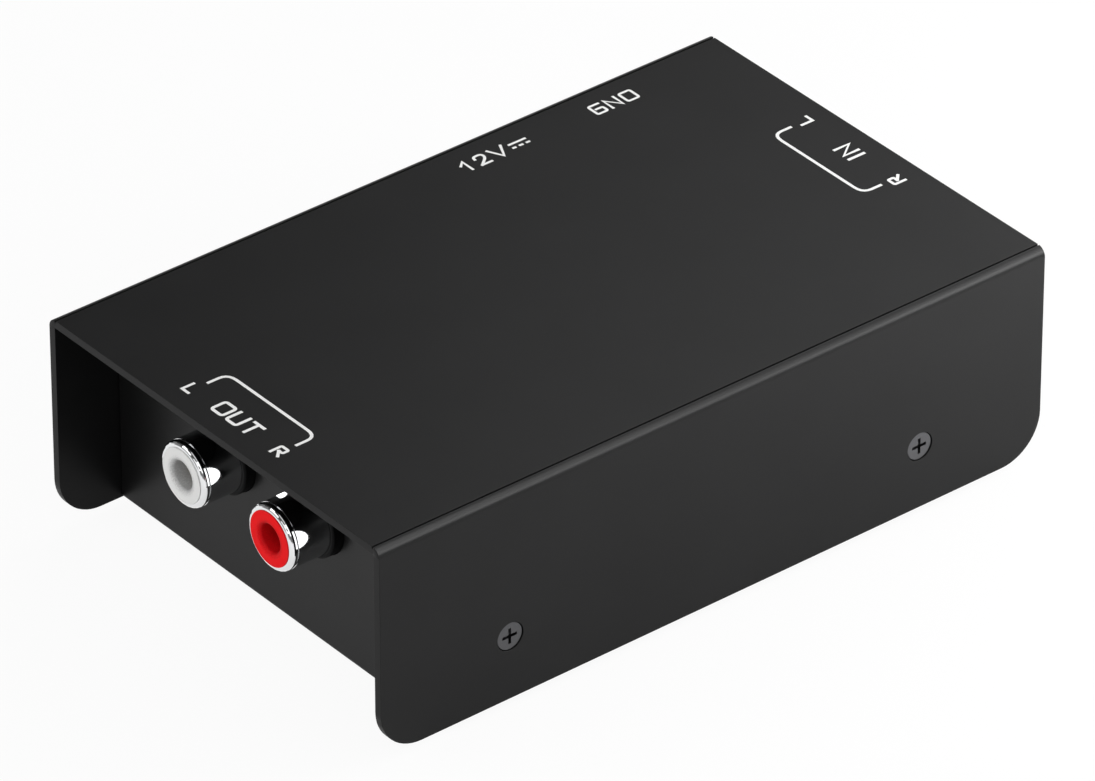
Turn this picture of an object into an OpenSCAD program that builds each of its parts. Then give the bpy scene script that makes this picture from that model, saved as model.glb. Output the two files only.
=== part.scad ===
// Phono preamp in a two-piece case of bent sheet metal.
// Millimetres. +Z is up, and the origin is the centre of the chassis underside.
// The output end is at -X, the input end at +X, and the rear side, with the supply
// socket and the ground terminal, at +Y. The left channel is the rear one.

/* [Case] */
// Length of the cover
case_l = 98; // [88:1:130]
// Width of the cover
case_w = 61; // [55:1:80]
// Height from the chassis underside to the top of the cover
case_h = 28.2; // [27:0.2:40]
// Thickness of the cover sheet with its finish
cover_t = 1.05; // [1.05:0.05:1.3]
// Outside radius of the two long bends of the cover
cover_bend_r = 1.2; // [0.8:0.1:3]
// Width of the score line along the top of each bend
score_w = 0.25; // [0.15:0.05:0.4]
// Depth of the score lines
score_d = 0.3; // [0.1:0.05:0.4]
// Radius of the lower corners of the cover's long sides
cover_corner_r = 5.8; // [2:0.1:8]
// Thickness of the chassis sheet
chassis_t = 1; // [0.8:0.1:1.5]
// Outside radius of the chassis bends
chassis_bend_r = 0.6; // [0.2:0.1:0.8]
// Gap between the chassis and the inside of the cover
cover_gap = 0.15; // [0.05:0.05:0.3]
// Distance of each end panel from the end of the cover
panel_recess = 8.8; // [6:0.1:10]

/* [Cover screws] */
// Distance of each cover screw from the end of the cover
screw_inset = 18.6; // [17.6:0.2:24]
// Height of the cover screws above the chassis underside
screw_z = 8.5; // [7:0.1:8.6]
// Radius of the screw thread
screw_r = 1; // [0.8:0.1:1.2]
// Length of the screw from its head's top to its tip
screw_len = 4; // [3.5:0.1:4.4]
// Radius of the screw head
screw_head_r = 1.75; // [1.6:0.05:2]
// Height of the straight rim round the screw head
screw_rim_h = 0.12; // [0.05:0.01:0.2]
// Depth of the head's top below the surface of the cover
screw_sink = 0.15; // [0:0.05:0.3]
// Radial gap between the screw head and its hole
screw_hole_gap = 0.12; // [0.05:0.01:0.3]
// Length of each arm of the cross recess, tip to tip
cross_l = 2.1; // [1.5:0.1:2.4]
// Width of the arms of the cross recess
cross_w = 0.4; // [0.3:0.05:0.6]
// Depth of the cross recess
cross_depth = 0.6; // [0.3:0.1:0.8]
// Width of the chassis tabs that take the cover screws
tab_w = 12; // [8:0.5:14]
// Height of the chassis tabs
tab_h = 11; // [10.8:0.1:11.4]
// Radius of the upper corners of the tabs
tab_corner_r = 2; // [0.5:0.5:3]

/* [Phono sockets] */
// Distance between the axes of the two sockets at each end
socket_pitch = 16.3; // [14:0.1:20]
// Height of the socket axes above the chassis underside
socket_z = 17.2; // [16:0.1:18]
// Distance of the socket's front from the outer face of its panel
socket_reach = 7; // [5:0.1:8]
// Outside radius of the metal shell
shell_r = 4.15; // [4:0.05:4.25]
// Wall of the metal shell
shell_wall = 0.4; // [0.3:0.05:0.5]
// Step of the shell down to its seat in the housing
shell_step = 0.25; // [0.2:0.05:0.3]
// Inside radius of the shell's rolled front lip
lip_inner_r = 3.5; // [3.2:0.05:3.6]
// Length of the shell's front lip
lip_l = 0.8; // [0.8:0.1:1.2]
// Length of the front lip's rounding along the axis
lip_round = 0.6; // [0.3:0.05:0.7]
// Depth of the groove behind the lip
groove_d = 0.2; // [0.16:0.02:0.24]
// Width of the groove behind the lip
groove_w = 0.2; // [0.1:0.05:0.4]
// Distance that the insulator stands out of the shell
insulator_proud = 0.1; // [0:0.05:0.3]
// Thickness of the insulator's front wall
insulator_front_t = 2.4; // [1:0.1:3]
// Radius of the hole in the insulator's front
insulator_hole_r = 1.78; // [1.7:0.02:1.9]
// Rounding of the hole's mouth
hole_round = 0.5; // [0.2:0.1:0.8]
// Inside radius of the centre contact
contact_r = 1.62; // [1.55:0.01:1.65]
// Wall of the centre contact
contact_wall = 0.3; // [0.2:0.05:0.4]
// Length of the centre contact
contact_l = 12; // [10:0.5:12.5]
// Width of the contact's spring slots
contact_slot_w = 0.4; // [0.2:0.1:0.6]
// Length of the contact's spring slots
contact_slot_l = 8; // [4:0.5:9]
// Radius of the housing's round collar
collar_r = 4.6; // [4.5:0.05:5.5]
// Distance that the collar stands out of the panel
collar_reach = 1.5; // [0.5:0.1:2]
// Rounding of the collar's front edge
collar_round = 0.3; // [0.1:0.05:0.5]
// Radial gap between the collar and its hole in the panel
collar_gap = 0.1; // [0.05:0.05:0.3]
// Width of the socket housing
housing_w = 11.5; // [11:0.5:13]
// Depth of the socket housing behind its panel
housing_l = 9; // [8.5:0.5:10]
// Height of the housing above the socket axis
housing_above = 5.6; // [5:0.1:6.5]
// Length of the shell inside the housing
shell_seat = 6; // [4:0.5:7]
// Width of the shell's ground tail and of the contact's tail
tail_w = 1.4; // [0.8:0.1:1.6]
// Thickness of the tails
tail_t = 0.4; // [0.3:0.1:0.6]

/* [Board] */
// Thickness of the circuit board
board_t = 1.6; // [1:0.1:2]
// Height of the standoffs that carry the board
standoff_h = 6; // [5.8:0.1:6.2]
// Radius of the standoffs
standoff_r = 2.2; // [2:0.1:2.5]
// Radius of the standoff's shank in the chassis
standoff_shank_r = 1.8; // [1.6:0.1:1.9]
// Gap from the standoffs to the end panels, and from the board screws to the phono sockets
standoff_gap = 0.4; // [0.3:0.1:0.8]
// Gap between the board and the chassis walls
board_gap = 0.3; // [0.1:0.1:0.6]
// Clear space between the board and a cover screw's tip
notch_gap = 0.6; // [0.4:0.1:1]
// Clear space beside a chassis tab
notch_side_gap = 1.5; // [0.5:0.1:2]
// Radius of the board screws
board_screw_r = 1.25; // [1:0.05:1.4]
// Length of the board screws under the head
board_screw_l = 5; // [4:0.5:6]
// Radius of the board screws' head
board_screw_head_r = 2.2; // [1.8:0.1:2.3]
// Height of the board screws' head
board_screw_head_h = 1.5; // [1:0.1:2]
// Length of the leads below the board
lead_below = 1.2; // [0.8:0.1:2]
// Radius of the parts' round leads
lead_r = 0.3; // [0.25:0.05:0.35]

/* [Supply socket] */
// Distance of the supply socket from the input end of the cover
jack_inset = 36.5; // [35.5:0.5:38]
// Width of the socket's housing
jack_w = 9; // [8.5:0.5:10]
// Height of the housing above the board
jack_h = 11; // [10.8:0.1:12]
// Length of the housing
jack_l = 14.2; // [13.5:0.1:15]
// Radius of the housing's round top behind its front block
jack_round_r = 3.85; // [3.7:0.05:3.9]
// Height of the plug's axis above the board
jack_axis_h = 7; // [6.8:0.1:7.2]
// Radius of the plug's bore
jack_bore_r = 3.1; // [2.9:0.05:3.2]
// Depth of the plug's bore
jack_bore_l = 9.5; // [8.5:0.5:10]
// Radius of the centre pin
jack_pin_r = 1.05; // [0.95:0.05:1.25]
// Step of the centre pin down to its seat in the housing
jack_pin_step = 0.25; // [0.2:0.05:0.3]
// Distance of the pin's tip inside the bore's mouth
jack_pin_set = 0.6; // [0.3:0.1:1]
// Gap between the housing's front and the cover
jack_gap = 0.1; // [0.05:0.05:0.3]
// Radius of the hole in the cover
jack_hole_r = 4; // [3.6:0.1:4.4]

/* [Ground terminal] */
// Distance of the ground terminal from the input end of the cover
ground_inset = 18.7; // [18.3:0.1:19]
// Radius of the ground screw's thread
ground_r = 2; // [1.5:0.1:2]
// Pitch of the ground screw's thread
ground_pitch = 0.7; // [0.5:0.05:0.7]
// Full turns of the screw between its two limits
ground_turns = 3; // [1:1:4]
// Length of the screw under its head
ground_l = 10; // [9:0.5:11]
// Running gap between the screw and its tapped hole
ground_fit = 0.05; // [0.02:0.01:0.1]
// Radius of the knurled head
knob_r = 4.3; // [3.5:0.1:4.6]
// Height of the knurled head
knob_h = 5.5; // [4:0.1:8]
// Number of ridges in the knurl
knurl_n = 36; // [24:1:48]
// Depth of the knurl
knurl_d = 0.25; // [0.1:0.05:0.4]
// Chamfer of the knurled head
knob_chamfer = 0.5; // [0.2:0.1:0.8]
// Radius of the plain shoulder under the head
shoulder_r = 3.4; // [3:0.1:3.8]
// Height of the plain shoulder
shoulder_h = 0.6; // [0.3:0.1:1]
// Width of the slot in the head
slot_w = 0.9; // [0.6:0.1:1.2]
// Depth of the slot in the head
slot_depth = 0.9; // [0.5:0.1:1.5]
// Radius of the captive washer
washer_r = 4.4; // [4:0.1:4.6]
// Thickness of the captive washer
washer_t = 0.8; // [0.5:0.1:1]
// Axial gap on each face of the washer
washer_gap = 0.05; // [0.02:0.01:0.1]
// Radius of the hole in the cover
ground_hole_r = 2.25; // [2.15:0.05:2.5]
// Width of the tapped block
block_w = 8; // [7:0.1:8.4]
// Thickness of the block behind the tapped hole's bottom
block_back_t = 0.8; // [0.6:0.1:1.2]
// Depth of the tapped hole past the screw's tip
ground_runout = 0.5; // [0.3:0.1:1]
// Height of the block above the screw's axis
block_above = 4; // [3:0.5:5]
// Gap between the block's nose and the cover
block_gap = 0.15; // [0.1:0.05:0.3]

/* [Feet] */
// Radius of the rubber feet
foot_r = 4; // [3:0.5:5]
// Height of the feet
foot_h = 1.2; // [0.8:0.1:3]
// Distance of the feet from the end panels' outer faces
foot_inset_x = 7.5; // [7:0.5:10]
// Distance of the feet from the long sides
foot_inset_y = 8.5; // [7:0.5:12]
// Chamfer of the feet
foot_chamfer = 0.3; // [0.1:0.1:0.5]

/* [Electronic parts] */
// Radius of the supply capacitors
big_cap_r = 4; // [3:0.1:4.2]
// Height of the supply capacitors
big_cap_h = 11.5; // [8:0.5:12]
// Radius of the coupling capacitors
small_cap_r = 2.5; // [2:0.1:2.6]
// Height of the coupling capacitors
small_cap_h = 7; // [5:0.5:11]
// Length of the film capacitors
film_l = 7.2; // [6:0.1:7.5]
// Thickness of the film capacitors
film_w = 2.5; // [2:0.1:2.8]
// Height of the film capacitors
film_h = 6.5; // [5:0.1:8]
// Length of a resistor's body
resistor_l = 6.3; // [5:0.1:6.5]
// Radius of a resistor's body
resistor_r = 1.15; // [0.9:0.05:1.2]
// Distance between a resistor's two leads
resistor_pitch = 10.2; // [9:0.1:10.2]
// Length of the diode's body
diode_l = 5.2; // [4:0.1:6]
// Radius of the diode's body
diode_r = 1.3; // [1:0.05:1.4]
// Length of the amplifier chips
chip_l = 9.4; // [9:0.1:10]
// Width of the amplifier chips' bodies
chip_w = 6.4; // [6:0.1:6.6]
// Thickness of the amplifier chips
chip_h = 3.3; // [3:0.1:4]
// Space between the board and a chip
chip_lift = 0.6; // [0.4:0.1:1]
// Radius of the supply choke
choke_r = 3.5; // [3:0.1:3.8]
// Height of the supply choke
choke_h = 8; // [6:0.5:10]
// Radius of the choke between its flanges
choke_core_r = 3; // [2.6:0.1:3]
// Thickness of the choke's flanges
choke_flange_h = 1; // [0.5:0.1:1.5]
// Radius of the regulator's body
regulator_r = 2.4; // [2:0.1:2.5]
// Height of the regulator's body
regulator_h = 4.8; // [4:0.1:5.2]
// Distance of the regulator's flat face from its leads
regulator_flat = 1.4; // [1.2:0.1:1.6]

/* [Hidden] */
$fn = 48;

OUT = -1;      // end of the case with the outputs
IN = 1;        // end of the case with the inputs
LEFT = 1;      // the left channel is at +Y
RIGHT = -1;    // the right channel is at -Y
NEAR = -1;     // long side without sockets
REAR = 1;      // long side with the supply socket and the ground terminal
snug = 0.02;   // gap round a piece that is pressed or moulded into another
thread = 0.03; // gap between a plain shank and its plain tapped hole
past = 1;      // how far a cutter runs past the face that it cuts
arc_steps = 8; // straight steps in a small rounding

// Case
panel_x = case_l / 2 - panel_recess;
inner_y = case_w / 2 - cover_t;
chassis_y = inner_y - cover_gap;
panel_h = case_h - cover_t - cover_gap;
cover_inner_r = max(cover_bend_r - cover_t, 0.05);
score_y = case_w / 2 - cover_bend_r;
screw_x = case_l / 2 - screw_inset;
screw_cone_h = screw_head_r - screw_r;
screw_tip_y = case_w / 2 - screw_sink - screw_len;
screw_tip_chamfer = 0.3;

// Board
board_z = chassis_t + standoff_h;
board_top = board_z + board_t;
board_x = panel_x - chassis_t - board_gap;
board_y = chassis_y - chassis_t - board_gap;
standoff_x = panel_x - chassis_t - standoff_gap - standoff_r;
standoff_y = (socket_pitch + housing_w) / 2 + standoff_gap + board_screw_head_r;
notch_y = screw_tip_y - notch_gap;
notch_w = tab_w + 2 * notch_side_gap;
hole_gap = 0.12;

// Phono sockets, along their own axis from the panel's outer face
socket_y = socket_pitch / 2;
socket_drop = socket_z - board_top;
shell_back = -chassis_t - shell_seat;
shell_in_r = shell_r - shell_wall;
seat_r = shell_r - shell_step;
seat_in_r = seat_r - shell_wall;
seat_top = collar_reach + shell_wall;   // where the shell's inside steps down to its seat
lip_back = socket_reach - lip_l;
lip_wall = 0.6;
lip_flat = 0.05;            // width of the flat ring left inside the lip's rounding
groove_ramp = groove_w * 0.3;
insulator_front = socket_reach + insulator_proud;
contact_set = 0.2;          // from the insulator's front wall back to the contact
contact_front = insulator_front - insulator_front_t - contact_set;
contact_back = contact_front - contact_l;
insulator_back = contact_back + snug;
contact_out_r = contact_r + contact_wall;
housing_back = -chassis_t - housing_l;
shell_tail_in = 1;          // from the shell's back forward to its tail
shell_tail_at = shell_back + shell_tail_in;
contact_tail_at = contact_back - tail_t;
tail_drop = socket_drop + board_t + lead_below;
tail_hole_r = norm([tail_w, tail_t]) / 2 + hole_gap;

// Supply socket
jack_x = case_l / 2 - jack_inset;
jack_face_y = inner_y - jack_gap;
jack_z = board_top + jack_axis_h;
jack_back_y = jack_face_y - jack_l;
jack_back_wall = jack_l - jack_bore_l;
jack_pin_seat_r = jack_pin_r - jack_pin_step;
jack_tail_y = [1.6, 7.6];   // centre-pin tail and spring tail, from the back of the housing
spring_w = 1.6;
spring_room = 0.4;          // under the leaf, for it to give way

// Ground terminal
ground_x = case_l / 2 - ground_inset;
ground_z = jack_z;
ground_head_y = case_w / 2 + washer_t + 2 * washer_gap;
ground_tip_y = ground_head_y - ground_l;
nose_y = inner_y - block_gap;
nose_gap = 0.5;             // between the nose and the chassis tab under it
nose_z = tab_h + nose_gap;
block_set = 0.25;           // from the board's notch back to the block
block_front = notch_y - block_set;
block_back = ground_tip_y - ground_runout - block_back_t;
block_l = block_front - block_back;
block_pin_r = 0.6;
block_pin_pitch = 5;

// Supply parts: a row along the rear edge of the board, evenly spaced from the output end's
// standoff to the supply socket, and the regulator between that socket and the ground terminal
row_start = -standoff_x + board_screw_head_r;
row_end = jack_x - jack_w / 2;
row_gap = (row_end - row_start - 4 * big_cap_r - resistor_pitch - 2 * lead_r) / 4;
supply_out_at = [row_start + row_gap + big_cap_r, board_y - 7];
supply_in_at = [supply_out_at.x + 2 * big_cap_r + row_gap, board_y - 7];
diode_at = [row_end - row_gap - resistor_pitch / 2 - lead_r, board_y - 3.5];
choke_at = [diode_at.x, board_y - 9.5];
regulator_at = [(jack_x + jack_w / 2 + ground_x - block_w / 2) / 2, board_y - 7.5];

// Signal parts, [x, y]; each is mirrored to the other channel
input_chip_at = [10, 0];
output_chip_at = [-9, 0];
input_cap_at = [22, 5.5];
output_cap_at = [-23, 5.5];
filter_b_at = [-18, 4.5];
resistor_y = jack_back_y - resistor_r - 1.5;
load_at = [17, resistor_y];
gain_at = [0.5, resistor_y];
filter_r_at = [-16, resistor_y];
filter_a_at = [0.5, resistor_y - 3];
axial_lift = 0.4;
regulator_lift = 2;
lead_in = 1;                // how far a lead reaches up into its part
chip_lead_in = 1.6;
chip_notch_r = 0.8;
chip_notch_d = 0.6;
film_round = 0.5;
chip_pin_pitch = 2.54;
chip_row = 7.62;
small_cap_pitch = 2.5;
big_cap_pitch = 3.5;
choke_pitch = 5;
film_pitch = 5;
regulator_pitch = 1.27;

black = [0.06, 0.06, 0.065];
nickel = [0.8, 0.8, 0.82];
brass = [0.82, 0.66, 0.33];
signal_white = [0.88, 0.88, 0.87];
signal_red = [0.85, 0.06, 0.09];
supply_tint = [0.1, 0.12, 0.3];
coupling_tint = [0.12, 0.3, 0.2];
resistor_tint = [0.35, 0.55, 0.75];
film_tint = [0.65, 0.12, 0.1];
ferrite_tint = [0.3, 0.22, 0.18];
board_tint = [0.05, 0.28, 0.14];
screw_tint = [0.25, 0.25, 0.26];
rubber_tint = [0.09, 0.09, 0.09];

// ---------- helpers ----------

// Points of a quarter oval about [cx, cy], from its tip at +X round to its tip at +Y
function quarter(cx, cy, rx, ry) = [
    for (i = [0:arc_steps]) let (a = 90 * i / arc_steps) [cx + rx * cos(a), cy + ry * sin(a)]
];

// Both ends of a bar along X or Y of length p, round the middle c
function pair_x(c, p) = [[c.x - p / 2, c.y], [c.x + p / 2, c.y]];
function pair_y(c, p) = [[c.x, c.y - p / 2], [c.x, c.y + p / 2]];
function side_of(c, channel) = [c.x, c.y * channel];

// Draws its children for the output end, or mirrored for the input end
module at_end(end) mirror([end == IN ? 1 : 0, 0, 0]) children();

// Local frame of one phono socket: +Z out of the case, +X up
module at_socket(end, channel)
    at_end(end) translate([-panel_x, channel * socket_y, socket_z]) rotate([0, -90, 0]) children();

// Local frame on a long side: +Z out of the case
module on_side(x, side, z)
    translate([x, side * case_w / 2, z]) rotate([-90 * side, 0, 0]) children();

// Every cover screw's place
module each_cover_screw()
    for (x = [-screw_x, screw_x], side = [NEAR, REAR]) on_side(x, side, screw_z) children();

module each_standoff()
    for (x = [-standoff_x, standoff_x], y = [-standoff_y, standoff_y]) translate([x, y, 0]) children();

// Rounds an outside edge of a sheet along Y: the edge is at the origin, the sheet at +X and +Z
module bend_cutter(r, l)
    rotate([90, 0, 0]) translate([0, 0, -l / 2]) linear_extrude(l) difference() {
        translate([-past, -past]) square([r + past, r + past]);
        translate([r, r]) circle(r);
    }

// Flat plate outline, w wide and h high from y = 0, with its two upper corners rounded
module tab_outline(w, h, r) union() {
    translate([-w / 2, 0]) square([w, h - r]);
    translate([-w / 2 + r, 0]) square([w - 2 * r, h]);
    for (s = [-1, 1]) translate([s * (w / 2 - r), h - r]) circle(r);
}

// Cross recess for a screw head whose top is at z = 0
module cross_recess(l, w, depth)
    for (a = [0, 90]) rotate([0, 0, a]) translate([-l / 2, -w / 2, -depth]) cube([l, w, depth + past]);

// Round leads from z down to below the board
module leads(places, z)
    for (p = places) translate([p.x, p.y, board_z - lead_below])
        cylinder(h = z - board_z + lead_below, r = lead_r);

module lead_holes(places)
    for (p = places) translate(p) circle(lead_r + hole_gap);

// ---------- case ----------

// Long bar with its two upper edges rounded
module rounded_bar(l, w, h, r)
    translate([-l / 2, 0, 0]) rotate([90, 0, 90]) linear_extrude(l) tab_outline(w, h, r);

module top_cover() color(black) difference() {
    rounded_bar(case_l, case_w, case_h, cover_bend_r);
    translate([0, 0, -past])
        rounded_bar(case_l + 2 * past, 2 * inner_y, case_h - cover_t + past, cover_inner_r);
    for (side = [NEAR, REAR])
        translate([-case_l / 2 - past, side * score_y - score_w / 2, case_h - score_d])
            cube([case_l + 2 * past, score_w, score_d + past]);
    for (end = [OUT, IN]) at_end(end) translate([-case_l / 2, 0, 0])
        bend_cutter(cover_corner_r, case_w + 2 * past);
    each_cover_screw() cover_screw_hole();
    on_side(jack_x, REAR, jack_z) translate([0, 0, -cover_t - past])
        cylinder(h = cover_t + 2 * past, r = jack_hole_r);
    on_side(ground_x, REAR, ground_z) translate([0, 0, -cover_t - past])
        cylinder(h = cover_t + 2 * past, r = ground_hole_r);
}

module cover_screw_hole() {
    seat = screw_sink + screw_rim_h;
    translate([0, 0, -seat]) cylinder(h = seat + past, r = screw_head_r + screw_hole_gap);
    translate([0, 0, -seat - screw_cone_h])
        cylinder(h = screw_cone_h, r1 = screw_r + screw_hole_gap, r2 = screw_head_r + screw_hole_gap);
    translate([0, 0, -cover_t - past]) cylinder(h = cover_t + past, r = screw_r + screw_hole_gap);
}

module chassis() color(black) difference() {
    union() {
        translate([-panel_x, -chassis_y, 0]) cube([2 * panel_x, 2 * chassis_y, chassis_t]);
        for (end = [OUT, IN]) at_end(end)
            translate([-panel_x, -chassis_y, 0]) cube([chassis_t, 2 * chassis_y, panel_h]);
        for (x = [-screw_x, screw_x], side = [NEAR, REAR])
            translate([x, side * (chassis_y - (side == REAR ? 0 : chassis_t)), 0])
                rotate([90, 0, 0]) linear_extrude(chassis_t) tab_outline(tab_w, tab_h, tab_corner_r);
    }
    for (end = [OUT, IN]) at_end(end) translate([-panel_x, 0, 0])
        bend_cutter(chassis_bend_r, 2 * chassis_y + 2 * past);
    for (x = [-screw_x, screw_x], side = [NEAR, REAR]) translate([x, side * chassis_y, 0])
        rotate([0, 0, -90 * side]) bend_cutter(chassis_bend_r, tab_w);
    each_cover_screw() translate([0, 0, -cover_t - cover_gap - chassis_t - past])
        cylinder(h = chassis_t + 2 * past, r = screw_r + thread);
    for (end = [OUT, IN], channel = [LEFT, RIGHT]) at_socket(end, channel)
        translate([0, 0, -chassis_t - past])
            cylinder(h = chassis_t + 2 * past, r = collar_r + collar_gap);
    each_standoff() translate([0, 0, -past])
        cylinder(h = chassis_t + 2 * past, r = standoff_shank_r + snug);
}

module cover_screws() color(screw_tint) each_cover_screw()
    translate([0, 0, -screw_sink]) difference() {
        rotate_extrude() polygon([
            [0, -screw_len], [screw_r - screw_tip_chamfer, -screw_len],
            [screw_r, -screw_len + screw_tip_chamfer],
            [screw_r, -screw_rim_h - screw_cone_h], [screw_head_r, -screw_rim_h],
            [screw_head_r, 0], [0, 0]
        ]);
        cross_recess(cross_l, cross_w, cross_depth);
    }

module foot(end, side)
    color(rubber_tint)
        translate([end * (panel_x - foot_inset_x), side * (case_w / 2 - foot_inset_y), -foot_h])
            rotate_extrude() polygon([
                [0, 0], [foot_r - foot_chamfer, 0], [foot_r, foot_chamfer], [foot_r, foot_h], [0, foot_h]
            ]);

// ---------- board and what carries it ----------

// Every lead that passes through the board
module all_lead_holes() {
    for (at = [input_chip_at, output_chip_at]) lead_holes(chip_leads(at));
    lead_holes(regulator_leads());
    lead_holes(pair_x(diode_at, resistor_pitch));
    lead_holes(pair_x(choke_at, choke_pitch));
    for (at = [supply_in_at, supply_out_at]) lead_holes(pair_x(at, big_cap_pitch));
    for (channel = [LEFT, RIGHT]) {
        for (at = [input_cap_at, output_cap_at])
            lead_holes(pair_x(side_of(at, channel), small_cap_pitch));
        lead_holes(pair_x(side_of(filter_a_at, channel), film_pitch));
        lead_holes(pair_y(side_of(filter_b_at, channel), film_pitch));
        for (at = [load_at, gain_at, filter_r_at])
            lead_holes(pair_x(side_of(at, channel), resistor_pitch));
        for (end = [OUT, IN], at = [shell_tail_at, contact_tail_at])
            translate([end * (panel_x + at + tail_t / 2), channel * socket_y]) circle(tail_hole_r);
    }
    for (d = jack_tail_y) translate([jack_x, jack_face_y - jack_l + d]) circle(tail_hole_r + tail_t / 2);
    for (s = [-1, 1]) translate([ground_x + s * block_pin_pitch / 2, block_back + block_l / 2])
        circle(block_pin_r + hole_gap);
}

module main_board() color(board_tint) translate([0, 0, board_z]) linear_extrude(board_t)
    difference() {
        square([2 * board_x, 2 * board_y], center = true);
        for (x = [-screw_x, screw_x], side = [NEAR, REAR])
            translate([x - notch_w / 2, side == REAR ? notch_y : -board_y - past])
                square([notch_w, board_y - notch_y + past]);
        for (x = [-standoff_x, standoff_x], y = [-standoff_y, standoff_y])
            translate([x, y]) circle(board_screw_r + hole_gap);
        all_lead_holes();
    }

module board_standoffs() color(nickel) each_standoff() difference() {
    union() {
        cylinder(h = chassis_t, r = standoff_shank_r);
        translate([0, 0, chassis_t]) cylinder(h = standoff_h, r = standoff_r);
    }
    translate([0, 0, chassis_t]) cylinder(h = standoff_h + past, r = board_screw_r + thread);
}

module board_screws() color(nickel) each_standoff() translate([0, 0, board_top]) difference() {
    head_round = board_screw_head_h / 2;
    rotate_extrude() polygon(concat(
        [
            [0, -board_screw_l], [board_screw_r, -board_screw_l], [board_screw_r, 0],
            [board_screw_head_r, 0]
        ],
        quarter(board_screw_head_r - head_round, board_screw_head_h - head_round, head_round, head_round),
        [[0, board_screw_head_h]]
    ));
    translate([0, 0, board_screw_head_h]) cross_recess(cross_l, cross_w, cross_depth);
}

// ---------- phono sockets ----------

// Moulded body behind the panel, with the round collar that fills the panel's hole
module socket_housing(end, channel) color(black) at_socket(end, channel) difference() {
    union() {
        translate([-socket_drop, -housing_w / 2, housing_back])
            cube([socket_drop + housing_above, housing_w, housing_l]);
        rotate_extrude() polygon(concat(
            [[0, -chassis_t - past], [collar_r, -chassis_t - past]],
            quarter(collar_r - collar_round, collar_reach - collar_round, collar_round, collar_round),
            [[0, collar_reach]]
        ));
    }
    translate([0, 0, contact_back]) cylinder(h = collar_reach - contact_back + past, r = seat_r + snug);
    // slots that the two tails are pushed up into
    translate([-socket_drop - past, -tail_w / 2 - snug, shell_tail_at - snug])
        cube([socket_drop + past, tail_w + 2 * snug, tail_t + 2 * snug]);
    translate([-socket_drop - past, -tail_w / 2 - snug, housing_back - past]) cube([
        socket_drop + past + contact_out_r + snug,
        tail_w + 2 * snug,
        insulator_back - housing_back + past
    ]);
}

// Drawn metal tube with a rolled lip and a ground tail
module socket_shell(end, channel) color(nickel) at_socket(end, channel) union() {
    lip_outer = shell_r - lip_inner_r - lip_flat;
    rotate_extrude() polygon(concat(
        [
            [seat_in_r, shell_back], [seat_r, shell_back], [seat_r, collar_reach],
            [shell_r, collar_reach],
            [shell_r, lip_back - groove_w], [shell_r - groove_d, lip_back - groove_w + groove_ramp],
            [shell_r - groove_d, lip_back - groove_ramp], [shell_r, lip_back]
        ],
        quarter(lip_inner_r + lip_flat, socket_reach - lip_round, lip_outer, lip_round),
        [
            [lip_inner_r, socket_reach], [lip_inner_r, socket_reach - lip_wall],
            [shell_in_r, socket_reach - lip_wall], [shell_in_r, seat_top], [seat_in_r, seat_top]
        ]
    ));
    translate([-tail_drop, -tail_w / 2, shell_tail_at])
        cube([tail_drop - seat_r + shell_wall / 2, tail_w, tail_t]);
}

// Moulded insulator: coloured face with the plug's hole
module socket_insulator(end, channel, tint)
    color(tint) at_socket(end, channel) rotate_extrude() polygon(concat(
        [
            [contact_out_r + snug, insulator_back],
            [contact_out_r + snug, insulator_front - insulator_front_t],
            [insulator_hole_r, insulator_front - insulator_front_t]
        ],
        quarter(insulator_hole_r + hole_round, insulator_front - hole_round, -hole_round, hole_round),
        [
            [lip_inner_r - snug, insulator_front], [lip_inner_r - snug, socket_reach - lip_wall - snug],
            [shell_in_r - snug, socket_reach - lip_wall - snug], [shell_in_r - snug, seat_top + snug],
            [seat_in_r - snug, seat_top + snug], [seat_in_r - snug, insulator_back]
        ]
    ));

// Slotted tube that grips the plug's pin, with its solder tail
module socket_contact(end, channel) color(brass) at_socket(end, channel) {
    difference() {
        translate([0, 0, contact_back]) cylinder(h = contact_l, r = contact_out_r);
        translate([0, 0, contact_back - past]) cylinder(h = contact_l + 2 * past, r = contact_r);
        translate([-contact_slot_w / 2, -contact_out_r - past, contact_front - contact_slot_l])
            cube([contact_slot_w, 2 * contact_out_r + 2 * past, contact_slot_l + past]);
    }
    translate([-tail_drop, -tail_w / 2, contact_tail_at])
        cube([tail_drop + contact_out_r, tail_w, tail_t]);
}

// ---------- supply socket ----------

// Local frame of the supply socket: +Z out of the case, origin on the plug's axis at the housing's front
module at_jack() translate([jack_x, jack_face_y, jack_z]) rotate([-90, 0, 0]) children();

module dc_jack_housing() color(black) at_jack() difference() {
    union() {
        // front block, full height
        translate([-jack_w / 2, jack_axis_h - jack_h, -jack_back_wall])
            cube([jack_w, jack_h, jack_back_wall]);
        // lower body behind it with a rounded back
        translate([0, 0, -jack_l]) linear_extrude(jack_l) union() {
            translate([-jack_w / 2, 0]) square([jack_w, jack_axis_h]);
            circle(jack_round_r);
        }
    }
    translate([0, 0, -jack_bore_l]) cylinder(h = jack_bore_l + past, r = jack_bore_r);
    translate([0, 0, -jack_l - past]) cylinder(h = jack_l, r = jack_pin_seat_r + snug);
    // floor slot for the spring and back slot for the centre pin's tail
    translate([-spring_w / 2 - snug, 0, -jack_bore_l])
        cube([spring_w + 2 * snug, jack_bore_r + tail_t + spring_room, jack_bore_l - past]);
    translate([-tail_w / 2 - snug, 0, -jack_l + jack_tail_y.y - tail_t / 2 - snug])
        cube([tail_w + 2 * snug, jack_axis_h + past, tail_t + 2 * snug]);
    translate([-tail_w / 2 - snug, 0, -jack_l - past])
        cube([tail_w + 2 * snug, jack_axis_h + past, jack_tail_y.x + tail_t / 2 + past]);
}

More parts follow.
